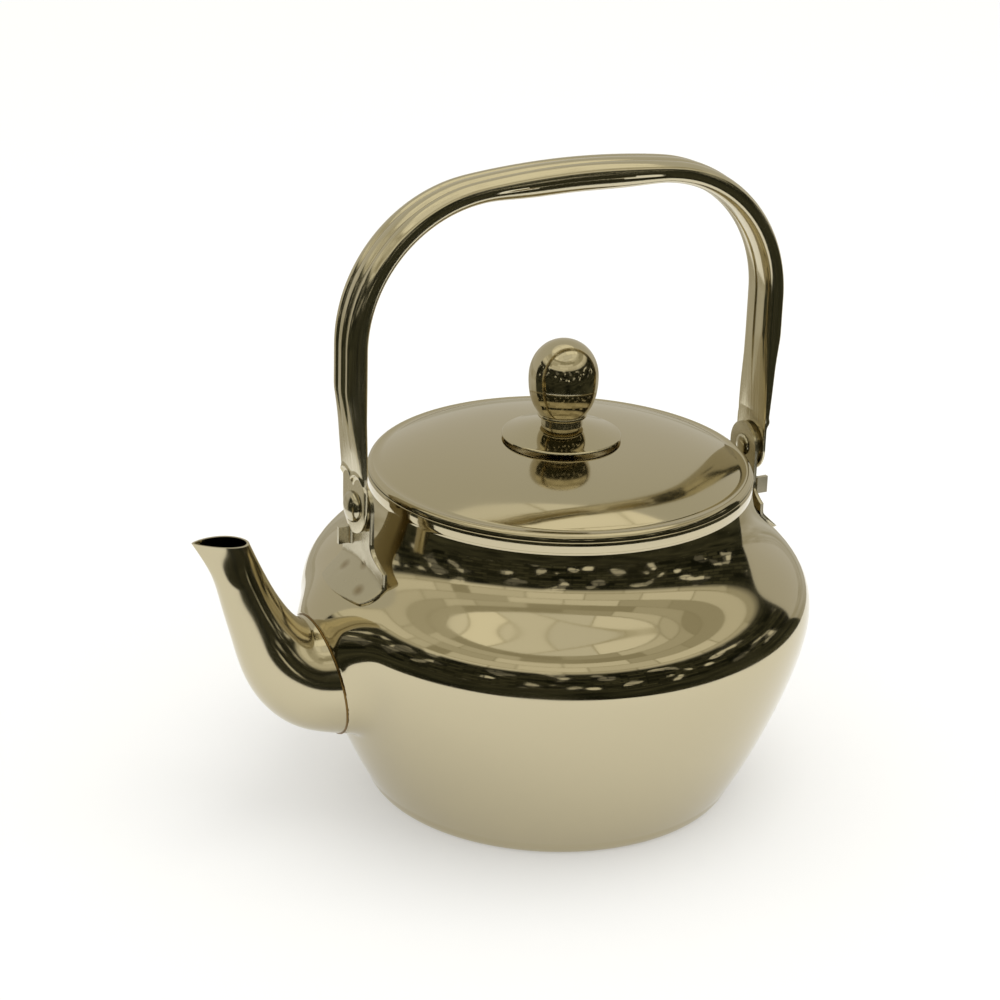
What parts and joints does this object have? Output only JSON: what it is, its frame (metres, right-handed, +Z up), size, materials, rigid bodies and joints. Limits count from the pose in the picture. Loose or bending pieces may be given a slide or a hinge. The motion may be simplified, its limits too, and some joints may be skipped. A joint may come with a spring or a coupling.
{
  "type": "kettle",
  "caption": "Round polished stainless steel stove kettle with a welded spout, a lift-off lid with an egg knob and a swinging bail handle.",
  "frame": {"origin": "centre of the flat base, on the surface the kettle stands on", "axes": "+Z up; the spout points along -X; the bail pivots about the X axis"},
  "size_m": [0.2265, 0.18, 0.2271],
  "materials": {
    "polished_pot": "mirror-polished pressed stainless steel",
    "polished_spout": "mirror-polished welded stainless steel",
    "polished_lid": "mirror-polished stainless sheet, finely worn on top",
    "polished_knob": "mirror-polished hollow stainless pressing",
    "bail_steel": "folded, polished stainless strip",
    "bracket_steel": "stamped, bright-finished stainless sheet",
    "rivet_steel": "upset stainless steel, bright",
    "turned_steel": "turned stainless steel"
  },
  "bodies": {
    "pot": {"pot_body": "polished_pot", "spout": "polished_spout", "bracket_front": "bracket_steel", "bracket_rear": "bracket_steel", "pivot_rivet_front": "rivet_steel", "pivot_rivet_rear": "rivet_steel", "pivot_washer_front": "rivet_steel", "pivot_washer_rear": "rivet_steel"},
    "bail": {"bail_handle": "bail_steel"},
    "lid": {"lid_shell": "polished_lid", "lid_skirt": "polished_lid", "knob_egg": "polished_knob", "knob_saucer": "polished_knob", "knob_boss": "turned_steel", "knob_spacer": "turned_steel", "knob_screw": "turned_steel", "knob_screw_washer": "turned_steel"}
  },
  "joints": [
    {"name": "bail_swing", "type": "hinge", "parent": "pot", "child": "bail", "pos_m": [0, 0, 0.1145], "axis": [1, 0, 0], "range_deg": [-94, 94]},
    {"name": "lid_lift", "type": "slide", "parent": "pot", "child": "lid", "axis": [0, 0, 1], "range_m": [0, 0.05]}
  ]
}
